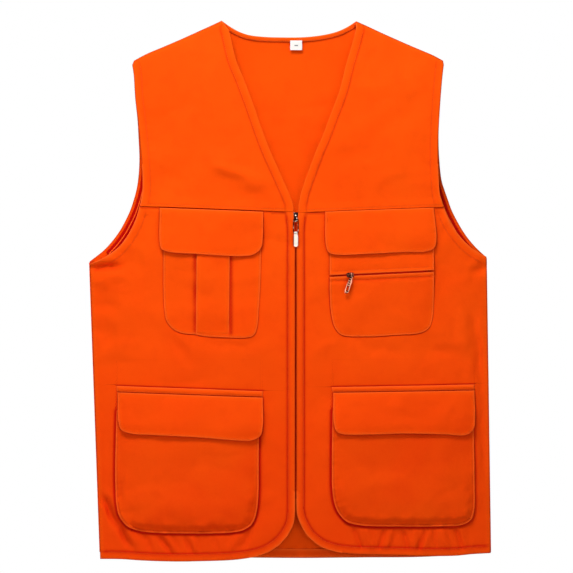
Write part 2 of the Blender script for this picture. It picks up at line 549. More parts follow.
def cloth_material(name, base, dark, light, rough=0.82, weave=1500.0, bump=0.5, sheen=0.03, mottle=0.35, red=1.0, lines=(), low=False):
    m = bpy.data.materials.new(name)
    m.use_nodes = True
    nt = m.node_tree
    N, Lk = nt.nodes, nt.links
    N.clear()
    out = N.new("ShaderNodeOutputMaterial")
    p = N.new("ShaderNodeBsdfPrincipled")
    Lk.new(p.outputs[0], out.inputs[0])
    tc = N.new("ShaderNodeTexCoord")

    def node(kind, **kw):
        n = N.new(kind)
        for k, v in kw.items():
            setattr(n, k, v)
        return n

    def noise_t(scale, detail=2.0, rough_=0.5, dist=0.0):
        n = node("ShaderNodeTexNoise")
        n.inputs["Scale"].default_value = scale
        n.inputs["Detail"].default_value = detail
        n.inputs["Roughness"].default_value = rough_
        n.inputs["Distortion"].default_value = dist
        Lk.new(tc.outputs["Object"], n.inputs["Vector"])
        return n

    def math_n(op, a, b=None):
        n = node("ShaderNodeMath", operation=op)
        for i, v in enumerate((a, b)):
            if v is None:
                continue
            if isinstance(v, (int, float)):
                n.inputs[i].default_value = v
            else:
                Lk.new(v, n.inputs[i])
        return n.outputs[0]

    sep = node("ShaderNodeSeparateXYZ")
    Lk.new(tc.outputs["Object"], sep.inputs[0])
    # twill: warp and weft threads shifted a step at each crossing
    X = math_n("MULTIPLY", sep.outputs[0], weave)
    Z = math_n("MULTIPLY", sep.outputs[2], weave)
    diag = math_n("SINE", math_n("MULTIPLY", math_n("ADD", X, Z), 3.1416))
    thr = math_n("SINE", math_n("MULTIPLY", X, 12.566))
    thr2 = math_n("SINE", math_n("MULTIPLY", Z, 12.566))
    weave_h = math_n("ADD", math_n("MULTIPLY", diag, 0.5), math_n("MULTIPLY", math_n("MULTIPLY", thr, thr2), 0.25))
    fuzz = noise_t(2600, 2.0)
    slub = noise_t(420, 3.0, 0.6)
    cloud = noise_t(9.0, 2.0, 0.5, 0.3)
    mid = noise_t(55.0, 3.0, 0.55)
    wear = node("ShaderNodeAttribute", attribute_name="cav")
    rim = node("ShaderNodeAttribute", attribute_name="rim")

    def mixc(fac, a, b, mode="MIX"):
        n = node("ShaderNodeMix", data_type="RGBA", blend_type=mode)
        for s, v in ((0, fac), (6, a), (7, b)):
            if isinstance(v, (int, float)):
                n.inputs[s].default_value = v
            elif isinstance(v, tuple):
                n.inputs[s].default_value = v
            else:
                Lk.new(v, n.inputs[s])
        return n.outputs[2]

    def ramp(v, a, b, lo=0.0, hi=1.0):
        n = node("ShaderNodeMapRange")
        Lk.new(v, n.inputs[0])
        for i, q in zip((1, 2, 3, 4), (a, b, lo, hi)):
            n.inputs[i].default_value = q
        return n.outputs[0]

    col = mixc(ramp(cloud.outputs[0], 0.32, 0.7, 0.0, mottle), base, light)
    col = mixc(ramp(mid.outputs[0], 0.5, 0.8, 0.0, mottle * 0.5), col, dark)
    col = mixc(ramp(slub.outputs[0], 0.45, 0.85, 0.0, 0.16), col, light)
    col = mixc(ramp(weave_h, 0.35, -0.6, 0.0, 0.22), col, dark)
    groove = math_n("MULTIPLY", wear.outputs["Fac"], 1.0)
    gain = node("ShaderNodeAttribute", attribute_name="mk_gain")
    for key, w, amount in lines:
        a = node("ShaderNodeAttribute", attribute_name=key)
        q = math_n("DIVIDE", a.outputs["Fac"], w)
        q = math_n("POWER", 2.718, math_n("MULTIPLY", math_n("MULTIPLY", q, q), -1.0))
        groove = math_n("MAXIMUM", groove, math_n("MULTIPLY", math_n("MULTIPLY", q, amount), gain.outputs["Fac"]) if key == "mk_pocket" else math_n("MULTIPLY", q, amount))
    if red > 0:
        if low:
            col = mixc(ramp(sep.outputs[2], 0.46, 0.02, 0.0, 0.5), col, LOW)
        col = mixc(groove, col, DEEP)
    edge = math_n("ADD", ramp(rim.outputs["Fac"], 0.0, 1.3, 0.35, 0.0), ramp(rim.outputs["Fac"], 2.5, 6.5, 0.28, 0.0))
    col = mixc(edge, col, light)
    tone = node("ShaderNodeAttribute", attribute_name="tone")
    if red > 0:
        col = mixc(math_n("MULTIPLY", ramp(tone.outputs["Fac"], 0.0, 1.0), 0.55), col, RIM)
        col = mixc(math_n("MULTIPLY", ramp(tone.outputs["Fac"], 0.0, -1.0), 0.85), col, OUTLINE)
        # light that bounces between folds of the same cloth comes back redder
        ao = node("ShaderNodeAmbientOcclusion")
        ao.samples = 6
        ao.inputs["Distance"].default_value = 0.011
        col = mixc(ramp(ao.outputs["AO"], 0.93, 0.3, 0.0, 0.95 * red), col, DEEP)
    Lk.new(col, p.inputs["Base Color"])
    Lk.new(ramp(slub.outputs[0], 0.2, 0.9, rough - 0.06, rough + 0.1), p.inputs["Roughness"])
    p.inputs["Specular IOR Level"].default_value = 0.06
    p.inputs["Sheen Weight"].default_value = sheen
    p.inputs["Sheen Roughness"].default_value = 0.45
    p.inputs["Sheen Tint"].default_value = light
    hsum = math_n("ADD", math_n("MULTIPLY", weave_h, 0.5), math_n("ADD", math_n("MULTIPLY", fuzz.outputs[0], 0.35), math_n("MULTIPLY", slub.outputs[0], 0.5)))
    b1 = node("ShaderNodeBump")
    b1.inputs["Strength"].default_value = bump
    b1.inputs["Distance"].default_value = 0.00018
    Lk.new(hsum, b1.inputs["Height"])
    b2 = node("ShaderNodeBump")
    b2.inputs["Strength"].default_value = 0.35
    b2.inputs["Distance"].default_value = 0.0009
    Lk.new(noise_t(120.0, 3.0, 0.55).outputs[0], b2.inputs["Height"])
    Lk.new(b2.outputs[0], b1.inputs["Normal"])
    Lk.new(b1.outputs[0], p.inputs["Normal"])
    return m


def metal_material(name, color, rough, metallic=1.0, scratch=0.12):
    m = bpy.data.materials.new(name)
    m.use_nodes = True
    nt = m.node_tree
    p = nt.nodes["Principled BSDF"]
    tc = nt.nodes.new("ShaderNodeTexCoord")
    n = nt.nodes.new("ShaderNodeTexNoise")
    n.inputs["Scale"].default_value = 900
    p.inputs["Specular IOR Level"].default_value = 0.5 if metallic > 0.5 else 0.1
    n.inputs["Detail"].default_value = 4
    nt.links.new(tc.outputs["Object"], n.inputs["Vector"])
    r = nt.nodes.new("ShaderNodeMapRange")
    r.inputs[3].default_value, r.inputs[4].default_value = rough - scratch, rough + scratch
    nt.links.new(n.outputs[0], r.inputs[0])
    nt.links.new(r.outputs[0], p.inputs["Roughness"])
    n2 = nt.nodes.new("ShaderNodeTexNoise")
    n2.inputs["Scale"].default_value = 220
    n2.inputs["Detail"].default_value = 3
    nt.links.new(tc.outputs["Object"], n2.inputs["Vector"])
    mx = nt.nodes.new("ShaderNodeMix")
    mx.data_type = "RGBA"
    mx.inputs[6].default_value = color + (1,)
    mx.inputs[7].default_value = tuple(c * 0.55 for c in color) + (1,)
    r2 = nt.nodes.new("ShaderNodeMapRange")
    r2.inputs[1].default_value, r2.inputs[2].default_value = 0.5, 0.8
    r2.inputs[4].default_value = 0.7
    nt.links.new(n2.outputs[0], r2.inputs[0])
    nt.links.new(r2.outputs[0], mx.inputs[0])
    nt.links.new(mx.outputs[2], p.inputs["Base Color"])
    p.inputs["Metallic"].default_value = metallic
    b = nt.nodes.new("ShaderNodeBump")
    b.inputs["Strength"].default_value = 0.25
    b.inputs["Distance"].default_value = 0.0001
    nt.links.new(n.outputs[0], b.inputs["Height"])
    nt.links.new(b.outputs[0], p.inputs["Normal"])
    return m


ORANGE, DARK, LIGHT = lin((254, 78, 1)), lin((222, 46, 0)), lin((255, 94, 4))
SHELL = cloth_material("shell_cloth", ORANGE, DARK, LIGHT, low=True)
SHELL_LINES = cloth_material("shell_front_cloth", ORANGE, DARK, LIGHT, lines=(("mk_pocket", 2.0, 0.95), ("mk_flap", 1.1, 0.8), ("mk_welt", 1.0, 0.9)), low=True)
CARGO = cloth_material("cargo_cloth", lin((237, 63, 0)), DARK, LIGHT)
INNER = cloth_material("inner_cloth", lin((254, 82, 2)), DARK, LIGHT)
FACING = cloth_material("facing_cloth", lin((236, 68, 6)), DARK, LIGHT, weave=1300.0)
SHADE = cloth_material("shaded_facing", lin((178, 4, 0)), lin((140, 2, 0)), lin((202, 16, 0)), weave=1300.0)
TAPE = cloth_material("zip_tape", lin((190, 24, 0)), lin((140, 12, 0)), lin((214, 44, 4)), weave=900.0, bump=0.7)
NAP = cloth_material("hook_and_loop", lin((222, 66, 10)), lin((150, 34, 4)), lin((250, 110, 40)), weave=700.0, bump=1.0, sheen=0.6)
LABEL = cloth_material("label_weave", lin((238, 236, 230)), lin((190, 186, 180)), lin((250, 249, 246)), weave=2200.0, sheen=0.1, mottle=0.15, rough=0.6, red=0.0)
GREY = cloth_material("label_mark", lin((120, 120, 124)), lin((90, 90, 94)), lin((140, 140, 144)), weave=2200.0, mottle=0.1, red=0.0)
THREAD = cloth_material("thread", lin((238, 76, 8)), lin((190, 46, 4)), lin((255, 112, 34)), weave=4000.0, bump=0.4, sheen=0.15, rough=0.6)
BRIGHT = metal_material("bright_metal", (0.66, 0.56, 0.47), 0.46, 0.75, 0.06)
SPECK = metal_material("speckled_metal", (0.60, 0.44, 0.36), 0.4, 0.9, 0.1)
for _n in SPECK.node_tree.nodes:
    if _n.type == "MIX":
        _n.inputs[7].default_value = (0.014, 0.003, 0.002, 1)
    if _n.type == "TEX_NOISE" and abs(_n.inputs["Scale"].default_value - 220) < 1:
        _n.inputs["Scale"].default_value = 420
    if _n.type == "MAP_RANGE" and abs(_n.inputs[1].default_value - 0.5) < 1e-3:
        _n.inputs[1].default_value, _n.inputs[2].default_value, _n.inputs[4].default_value = 0.36, 0.43, 1.0
DARKM = metal_material("dark_metal", (0.30, 0.075, 0.035), 0.5, 0.5)
for _n in DARKM.node_tree.nodes:
    if _n.type == "MIX":
        _n.inputs[7].default_value = (0.016, 0.006, 0.004, 1)
    if _n.type == "TEX_NOISE" and abs(_n.inputs["Scale"].default_value - 220) < 1:
        _n.inputs["Scale"].default_value = 620
    if _n.type == "MAP_RANGE" and abs(_n.inputs[1].default_value - 0.5) < 1e-3:
        _n.inputs[1].default_value, _n.inputs[2].default_value, _n.inputs[4].default_value = 0.40, 0.50, 1.0
COPPER = metal_material("copper_metal", (0.62, 0.36, 0.26), 0.3, 1.0, 0.08)
STRIPED = metal_material("striped_metal", (0.50, 0.21, 0.13), 0.38, 0.95, 0.1)


def ribbed(mat, node_name):
    """a copper rim round a dark ribbed middle, laid along the tab"""
    lo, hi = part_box(node_name)
    w = 0.0052
    ax, az = (hi.x - lo.x) - w, -((hi.z - lo.z) - 0.002)
    L = math.hypot(ax, az)
    ux, uz = -ax / L, az / L
    cx, cz = (lo.x + hi.x) / 2, (lo.z + hi.z) / 2
    t = mat.node_tree

    def m(op, p, q):
        n = t.nodes.new("ShaderNodeMath")
        n.operation = op
        for i, v in enumerate((p, q)):
            if isinstance(v, (int, float)):
                n.inputs[i].default_value = v
            elif v is not None:
                t.links.new(v, n.inputs[i])
        return n.outputs[0]

    tc, sp = t.nodes.new("ShaderNodeTexCoord"), t.nodes.new("ShaderNodeSeparateXYZ")
    t.links.new(tc.outputs["Object"], sp.inputs[0])
    dx, dz = m("SUBTRACT", sp.outputs[0], cx), m("SUBTRACT", sp.outputs[2], cz)
    along = m("ADD", m("MULTIPLY", dx, ux), m("MULTIPLY", dz, uz))
    cross = m("ABSOLUTE", m("ADD", m("MULTIPLY", dx, -uz), m("MULTIPLY", dz, ux)), None)
    rimm = m("GREATER_THAN", cross, 0.0017)
    rib = m("GREATER_THAN", m("SINE", m("MULTIPLY", along, 6.2832 / 0.0030), None), 0.45)
    fac = m("MAXIMUM", rimm, m("MULTIPLY", rib, 0.75))
    x = t.nodes.new("ShaderNodeMix")
    x.data_type = "RGBA"
    bc = t.nodes["Principled BSDF"].inputs["Base Color"]
    old = bc.links[0].from_socket
    t.links.new(fac, x.inputs[0])
    x.inputs[6].default_value = (0.010, 0.003, 0.002, 1)
    t.links.new(old, x.inputs[7])
    t.links.new(x.outputs[2], bc)


def rimmed(mat, node_name, inner, colour):
    """the edge of a plate worn dark, its middle left bright"""
    lo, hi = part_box(node_name)
    t = mat.node_tree
    tc, sp = t.nodes.new("ShaderNodeTexCoord"), t.nodes.new("ShaderNodeSeparateXYZ")
    t.links.new(tc.outputs["Object"], sp.inputs[0])
    sub, ab, mr = t.nodes.new("ShaderNodeMath"), t.nodes.new("ShaderNodeMath"), t.nodes.new("ShaderNodeMapRange")
    sub.operation, ab.operation = "SUBTRACT", "ABSOLUTE"
    t.links.new(sp.outputs[0], sub.inputs[0])
    sub.inputs[1].default_value = (lo.x + hi.x) / 2 + 0.0002
    t.links.new(sub.outputs[0], ab.inputs[0])
    t.links.new(ab.outputs[0], mr.inputs[0])
    half = (hi.x - lo.x) / 2
    mr.inputs[1].default_value, mr.inputs[2].default_value = half * inner, half * (inner + 0.2)
    x = t.nodes.new("ShaderNodeMix")
    x.data_type = "RGBA"
    bc = t.nodes["Principled BSDF"].inputs["Base Color"]
    old = bc.links[0].from_socket
    t.links.new(mr.outputs[0], x.inputs[0])
    t.links.new(old, x.inputs[6])
    x.inputs[7].default_value = colour
    t.links.new(x.outputs[2], bc)


rimmed(BRIGHT, "zip_pull", 0.66, (0.09, 0.022, 0.010, 1))
ribbed(STRIPED, "chest_zip_pull")
TEETH = metal_material("zip_teeth", (0.50, 0.008, 0.001), 0.7, 0.0)
TEETH.node_tree.nodes["Principled BSDF"].inputs["Specular IOR Level"].default_value = 0.02

for n, o in frame["nodes"].items():
    o.data.materials.clear()
    o.data.materials.append(SPECK if n in ("zip_slider", "zip_link") else DARKM if n == "chest_zip_slider" else TEETH if "chain" in n or n in ("chest_zip_stops", "zip_insertion_pin", "zip_retainer_box") else STRIPED if n == "chest_zip_pull" else COPPER if n == "chest_zip_ring" else BRIGHT)
    o.data.shade_smooth_by_angle(angle=math.radians(35)) if hasattr(o.data, "shade_smooth_by_angle") else None


def place(ob, body, nodes=(), bend=None):
    if bend:
        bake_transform(ob)
    else:
        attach(ob, body)
    if nodes:
        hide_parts(*nodes)
    return ob


def band_edges(v, w=10.5):
    return {"st": w, "lift": 0.5, "soft": 1.6, "gd": 0.55, "gw": 1.2, "pk": 0.22, "cav": 0.45, "tone": 0.3}


RF, LF = "right_front", "left_front"
zsh, zse = 0.66, 0.459


def yoke_bend(body):
    return ("back", body, (0.0, 0.0, zsh), (0.0, 0.0, zse))


# ------------------------------------------------------------------ back panel
def back_relief(x, z, d, run, s):
    return 0.0 * x


back_runs = [NECK, SHOULDER_L, B_ARM_L, [B_ARM_L[-1], (261.4, 10.6)], HEM_B[::-1], [HEM_B[0], B_ARM_R[-1]], B_ARM_R[::-1], SHOULDER_R[::-1]]
E_HEM = {"st": 6.5, "lift": 0.5, "pk": 0.4, "gd": 0.5, "cav": 0.45}
E_ARM = {"st": 10.0, "lift": 0.4, "pk": 0.25, "gd": 0.3, "cav": 0.2}
back_sheet = Sheet(back_runs, base_b, 1, 1.2, None, {0: {"st": 5.5, "lift": 0.4, "pk": 0.12, "tone": -1.0}, 1: {"tone": -1.0}, 2: dict(E_ARM, tone=-1.0), 3: {"tone": -1.0}, 4: dict(E_HEM, tone=-1.0), 5: {"tone": -1.0}, 6: dict(E_ARM, tone=-1.0), 7: {"tone": -1.0}})
ob = back_sheet.build("back_panel_cloth", [SHELL], 3.2, (5.5, 6.5, 10.0), INNER)
place(ob, "back", ["back_panel"])


def run_path(sheet, k, d):
    """points at distance d inside run k of a sheet, where they are no nearer to the rest of the edge"""
    idx = np.where(sheet.ids == k)[0]
    # keep them in order along the loop
    br = np.where(np.diff(idx) > 1)[0]
    if len(br):
        idx = np.concatenate([idx[br[0] + 1:], idx[:br[0] + 1]])
    t = np.roll(sheet.loop, -1, axis=0) - np.roll(sheet.loop, 1, axis=0)
    t /= np.linalg.norm(t, axis=1)[:, None]
    q = sheet.loop[idx] + np.stack([-t[:, 1], t[:, 0]], 1)[idx] * d
    dd, _ = near(q, sheet.dense)
    return q[(dd > d - 0.2) & inside(sheet.loop, q)]


def stitch_run(key, sheet, k, d, **kw):
    p = run_path(sheet, k, d)
    if len(p) > 3:
        stitches(key, p, sheet.outer, sheet.sign, **kw)


def inner_stitch(key, sheet, k, d, **kw):
    p = run_path(sheet, k, d)
    if len(p) > 3:
        stitches(key, p, lambda x, z: -(sheet.outer(x, z) - sheet.thick), -sheet.sign, **kw)


for k, d in ((2, 10.0), (4, 6.5), (6, 10.0)):
    stitch_run("back", back_sheet, k, d)
stitch_run("back", back_sheet, 0, 5.5)


# ------------------------------------------------------------------ yokes
def yoke(side):
    R = side == "right"
    v, arm, sh = (V_R, F_UP_R, SHOULDER_R) if R else (V_L, F_UP_L, SHOULDER_L)
    x0, x1 = v[-1][0], arm[-1][0]
    seam = [(x0, float(seam_z(x0)) - 0.2), (x1, float(seam_z(x1)) - 0.2)]
    runs = [v[:-1] + [seam[0]], seam, [seam[1]] + arm[::-1][1:], sh[::-1], [sh[0], v[0]]]
    k = 1 if R else -1

    def relief(x, z, d, run, s):
        db = np.abs(x - np.interp(-z, [-p[1] for p in v], [p[0] for p in v])) * 0.92
        ds = z - seam_z(x)
        fold = 0.9 * ss(9.0, 13.0, db) * (1 - ss(3.0, 14.0, ds))
        line = g(ds, 3.2, 0.9) * ss(9, 13, db)
        return fold - 0.2 * line + 0.3 * noise(x / 6.0, ds / 9.0, 77) * np.exp(-ds / 7.0), 0.12 * line

    sheet = Sheet(runs, base_f, -1, 1.1, relief, {0: band_edges(v), 1: {"tone": 0.0}, 2: {"st": 10.0, "lift": 0.4, "pk": 0.22, "gd": 0.28, "cav": 0.25, "tone": lambda x, z: np.where(z > 515, -1.0, 1.0)}, 3: {"tone": -1.0}})
    ob = sheet.build(side + "_yoke_cloth", [SHELL], 2.9, (3.2, 10.3), INNER)
    body = RF if R else LF
    place(ob, None, [side + "_yoke"], bend=yoke_bend(body))
    stitch_run(side + "_yoke", sheet, 0, 9.6)
    stitch_run(side + "_yoke", sheet, 2, 10.0)
    xs = np.linspace(x0 - 13.0 * k, x1 + 3.0 * k, 60)
    stitches(side + "_yoke", np.stack([xs, seam_z(xs) + 3.0], 1), sheet.outer, -1)
    return sheet


YK = {s: yoke(s) for s in ("right", "left")}


CH_R_RUN = [(-163.8, 436.0), (-164.1, 396.0), (-164.1, 350.0), (-162.6, 325.0), (-159.9, 312.0), (-151.3, 301.6), (-140.4, 296.6), (-123.5, 294.8), (-109.2, 292.2), (-79.3, 290.7), (-57.2, 290.6), (-47.3, 293.4), (-43.0, 302.0),
            (-40.3, 330.0), (-38.2, 365.0), (-37.7, 396.5), (-37.4, 434.0)]
CH_L_RUN = [(186.7, 376.0), (186.7, 345.8), (184.6, 314.0), (179.4, 302.1), (167.7, 296.4), (141.7, 294.2), (95.7, 292.0), (67.6, 294.0), (58.5, 302.9), (53.8, 318.5), (51.5, 345.8), (51.4, 366.0)]


CG_R = [(-225.4, 196.0), (-226.6, 160.0), (-227.3, 111.8), (-225.7, 76.0), (-221.9, 58.9), (-212.7, 46.8), (-199.7, 40.3), (-183.3, 37.7), (-136.5, 36.6), (-98.8, 36.9), (-73.3, 38.3), (-60.3, 41.2), (-49.4, 48.6), (-43.7, 61.6), (-40.8, 84.5), (-40.3, 130.0), (-40.0, 196.0)]
CG_L = [(238.5, 196.0), (239.9, 111.8), (239.4, 65.4), (234.9, 53.3), (221.9, 46.8), (197.6, 45.5), (141.7, 45.6), (89.7, 47.5), (72.8, 52.4), (62.4, 63.7), (57.6, 74.6), (54.6, 93.6), (54.0, 130.0), (54.8, 196.0)]


FLAP = {
    "right_chest": ([(-169.0, 459.0), (-34.7, 453.8)], [(-34.7, 453.8), (-35.1, 420.0), (-37.0, 407.5), (-46.8, 398.4), (-62.4, 396.2), (-80.6, 396.5), (-122.2, 399.1), (-157.3, 401.7), (-166.5, 405.5), (-169.0, 414.0), (-169.0, 459.0)]),
    "left_chest": ([(45.5, 453.9), (186.7, 459.3)], [(186.7, 459.3), (190.0, 416.0), (187.0, 406.5), (175.5, 401.9), (150.8, 401.4), (105.3, 399.3), (60.0, 397.9), (50.0, 401.0), (46.5, 410.0), (45.5, 453.9)]),
    "right_cargo": ([(-224.1, 219.6), (-35.1, 213.1)], [(-35.1, 213.1), (-35.1, 176.0), (-38.5, 163.5), (-49.4, 157.6), (-62.4, 157.2), (-98.8, 159.9), (-127.4, 162.0), (-174.2, 164.2), (-208.0, 166.4), (-219.0, 171.0), (-222.6, 181.0), (-224.1, 219.6)]),
    "left_cargo": ([(55.9, 219.4), (239.8, 222.0)], [(239.8, 222.0), (240.5, 190.0), (238.5, 172.0), (228.8, 164.4), (197.6, 165.2), (150.8, 166.4), (105.3, 165.3), (70.0, 165.6), (60.5, 169.0), (56.8, 179.0), (55.9, 219.4)]),
}


# ------------------------------------------------------------------ front panels
def front_panel(side):
    R = side == "right"
    k = 1 if R else -1
    arm, hem, sl = (F_LO_R, HEM_R, SIDE_R) if R else (F_LO_L, HEM_L, SIDE_L)
    xe = XZ - 0.9 * k
    xn = XZ - 3.2 * k
    top = [(xn, float(seam_z(xn)) - 0.3), (arm[0][0], float(seam_z(arm[0][0])) - 0.3)]
    bot = hem[0]
    centre = [hem[-1], (xe, 120.0), (xe, 250.0), (xe, 380.0), (xe, 432.0), (XZ - 2.0 * k, 443.0), top[0]]
    runs = [top, [top[1]] + arm[1:], [arm[-1], bot], hem, centre]
    ch, cg = (CH_R_RUN, CG_R) if R else (CH_L_RUN, CG_L)
    marks = [(inset(curve(ch, 1.2), -0.3 * k), 0.4, 0.9, 0.0), (inset(curve(cg, 1.2), -1.2 * k), 0.6, 1.8, 0.0)]
    wl = [(-225.3, 228.7), (-35.1, 222.2)] if R else [(53.8, 227.4), (239.6, 230.5)]
    marks.append((np.array(curve(wl, 1.2)), 0.4, 0.9, 0.0))
    for nm, low in (("_chest", 0.3), ("_cargo", 0.4)):
        marks.append((np.array(curve(FLAP[side + nm][1], 1.2)), low, 1.1, 0.0))

    def relief(x, z, d, run, s):
        edge = 0.0 * x
        # the body sinks a little under the yoke fold
        ds = seam_z(x) - z
        db = np.abs(x - XZ)
        edge = edge - 0.3 * (1 - ss(0, 5, ds)) * ss(9, 13, db)
        cav = 1.0 * (1 - ss(1.2, 3.6, ds)) * ss(10, 13, db)
        xz = np.stack([x, z], 1)
        for path, depth, width, c in marks:
            dm, im = near(xz, path)
            gr = np.exp(-((dm / width) ** 2))
            edge = edge - depth * gr + 0.35 * depth * np.exp(-(((dm - 2.6 * width) / (1.6 * width)) ** 2))
            cav = np.maximum(cav, c * gr)
            # the cloth gathers where the pocket is sewn on
            edge = edge + 0.5 * depth * noise(im / 4.0, im * 0.0, 55) * np.exp(-dm / 7.0)
        return edge, cav

    def across(path):
        """signed distance to a line, outside positive"""
        t = np.gradient(path, axis=0)
        t /= np.linalg.norm(t, axis=1)[:, None]
        nn = np.stack([t[:, 1], -t[:, 0]], 1) * k

        def f(x, z):
            q = np.stack([x, z], 1)
            d, i = near(q, path)
            v = np.sum((q - path[i]) * nn[i], 1)
            end = (i == 0) | (i == len(path) - 1)
            return np.where(end, np.where(v < 0, -1, 1) * d, v)
        return f

    def either(a, b, z_split):
        fa, fb = across(a), across(b)
        return lambda x, z: np.where(z > z_split, fa(x, z) * 2.1, fb(x, z))

    lines = {"mk_pocket": either(marks[0][0], marks[1][0], 262.0), "mk_welt": across(marks[2][0]), "mk_flap": either(marks[3][0], marks[4][0], 262.0)}
    if R:
        lines["mk_gain"] = lambda x, z: np.where(z > 262, np.interp(x, [-165, -140, -60, -45, -37], [0.5, 0.75, 0.7, 0.55, 0.08]), 1.0)
    else:
        lines["mk_gain"] = lambda x, z: np.where(z > 262, np.interp(x, [51, 70, 170, 187], [0.95, 0.8, 0.75, 0.2]), np.interp(x, [54, 200, 240], [1.1, 0.9, 0.5]))
    sheet = Sheet(runs, base_f, -1, 1.1, relief, {0: {"tone": 0.0}, 1: {"st": 10.0, "lift": 0.4, "pk": 0.3, "gd": 0.3, "cav": 0.2}, 2: {"tone": -1.0}, (3, 4): {"st": 9.8, "lift": 0.7, "soft": 1.4, "gd": 0.45, "gw": 1.8, "pk": 0.22, "cav": 0.8, "tone": lambda x, z: np.where((z < 22) & (np.abs(x - XZ) > 60), -1.0, np.where((z > 92) & (z < 440), -0.8, 1.0))}}, lines)
    ob = sheet.build(side + "_front_cloth", [SHELL_LINES], 2.7, (9.0, 10.3), INNER)
    place(ob, RF if R else LF, [side + "_front_panel"])
    key = side + "_front"
    stitch_run(key, sheet, 1, 10.0)
    stitch_run(key, sheet, 3, 9.0)
    stitch_run(key, sheet, 4, 9.0)
    return sheet


FP = {s: front_panel(s) for s in ("right", "left")}


def on_front(side, extra):
    """a base surface lying extra mm above the front panel's own relief"""
    def f(x, z):
        return base_f(x, z) + extra
    return f


# ------------------------------------------------------------------ chest pockets
def puff(amount, width, flat=0.5):
    def f(x, z, d, run, s):
        return amount * ss(0, width, d) + flat * ss(0, 2.0, d) + 0.22 * noise(x / 26, z / 26, 91)
    return f


E_TOP = {"st": 2.2, "lift": 0.12, "soft": 1.0, "gd": 0.22, "gw": 0.7, "pk": 0.18, "cav": 0.1}
def pocket_face(x, z, d, run, s):
    y = puff(0.6, 16, 0.3)(x, z, d, run, s)
    dl, dr = x + 123.0, x + 76.6
    low = ss(290, 297, z)
    gr = np.maximum(np.exp(-((dl / 2.8) ** 2)) * (0.75 + 0.25 * noise(z / 20, x * 0, 33)), 0.85 * np.exp(-((dr / 2.4) ** 2)))
    return y - 0.2 * gr * low, np.clip(1.0 * gr * low, 0, 1)


chr_sheet = Sheet([CH_R_RUN, [CH_R_RUN[-1], CH_R_RUN[0]]], on_front("right", 1.1), -1, 1.0, pocket_face, {0: dict(E_TOP)})
place(chr_sheet.build("right_chest_pocket_cloth", [SHELL], 2.8, (2.2,)), RF, ["right_chest_pocket"])
stitch_run("right_front", chr_sheet, 0, 2.0)

PLEAT = [[(-120.9, 436.0), (-121.9, 295.2)], [(-121.9, 295.2), (-79.1, 294.0)], [(-79.1, 294.0), (-77.6, 436.0)], [(-77.6, 436.0), (-120.9, 436.0)]]


def pleat_relief(x, z, d, run, s):
    low = 1 - ss(294, 316, z)
    return 1.0 * ss(0, 3.0, d) - 2.3 * low + 0.2 * noise(x / 20, z / 40, 94)


pl_sheet = Sheet(PLEAT, on_front("right", 3.3), -1, 1.2, pleat_relief, {0: dict(E_TOP, st=3.0, pk=0.1, gd=0.15), 2: dict(E_TOP, st=3.0, pk=0.1, gd=0.15)})
place(pl_sheet.build("right_chest_pleat_cloth", [SHELL], 2.6, (3.0,)), RF, ["right_chest_pleat"])

ZA, ZB = (55.9, 370.7), (182.9, 376.9)


def zc(x):
    return ZA[1] + (x - ZA[0]) * (ZB[1] - ZA[1]) / (ZB[0] - ZA[0])


def ch_plane(x, z):
    """the flat plane of the left chest pocket, matching the CAD's zip line"""
    a, b = float(front(50.0, 370.0)), float(front(188.0, 370.0))
    xs = np.linspace(50, 188, 41)
    dev = float(np.max(front(xs, 370.0 + 0 * xs) - a - (b - a) * (xs - 50) / 138))
    return a + (b - a) * (x - 50.0) / 138.0 + dev + 1.2


def chl_base(extra):
    def f(x, z):
        n = base_f(x, z) + 0.9
        t = np.exp(-(((z - zc(x)) / 24.0) ** 2))
        return np.maximum(n * (1 - t) + (ch_plane(x, z) + 1.2) * t, n) + extra
    return f


low_run = [(186.7, float(zc(186.7)) - 1.2), (186.7, 345.8), (184.6, 314.0), (179.4, 302.1), (167.7, 296.4), (141.7, 294.2), (95.7, 292.0), (67.6, 294.0), (58.5, 302.9), (53.8, 318.5), (51.5, 345.8), (51.4, float(zc(51.4)) - 1.2)]


def lip(upper):
    def f(x, z, d, run, s):
        dz = np.abs(z - zc(x))
        far = ss(3.5, 12, dz)
        dip = np.exp(-(((dz - 7.4) / 1.5) ** 2)) * (0.0 if upper else 0.9)
        y = 0.9 * ss(0, 14, d) * far + 0.3 * np.exp(-((dz - 2.4) / 2.0) ** 2) + 0.2 * noise(x / 24, z / 24, 96) * far - dip
        return y, 0.5 * dip * ss(56, 80, x) * (0.6 + 0.4 * noise(x / 12, z * 0, 95))
    return f


low_sheet = Sheet([low_run, [low_run[-1], low_run[0]]], chl_base(0.1), -1, 1.1, lip(False), {0: dict(E_TOP), 1: dict(E_TOP, st=4.5)})
place(low_sheet.build("left_chest_pocket_lower_cloth", [SHELL], 2.8, (2.2, 4.5)), LF, ["left_chest_pocket_lower"])
up_runs = [[(51.4, float(zc(51.4)) + 1.0), (186.7, float(zc(186.7)) + 1.0)], [(186.7, float(zc(186.7)) + 1.0), (186.5, 437.0)], [(186.5, 437.0), (51.2, 434.0)], [(51.2, 434.0), (51.4, float(zc(51.4)) + 1.0)]]
up_sheet = Sheet(up_runs, chl_base(0.1), -1, 1.1, lip(True), {0: dict(E_TOP, st=4.5), 1: dict(E_TOP), 3: dict(E_TOP)})
place(up_sheet.build("left_chest_pocket_upper_cloth", [SHELL], 2.8, (2.2, 4.5)), LF, ["left_chest_pocket_upper"])
stitch_run("left_front", low_sheet, 0, 2.0)
stitch_run("left_front", low_sheet, 1, 4.5)
stitch_run("left_front", up_sheet, 0, 4.5)
stitch_run("left_front", up_sheet, 1, 2.0)
stitch_run("left_front", up_sheet, 3, 2.0)


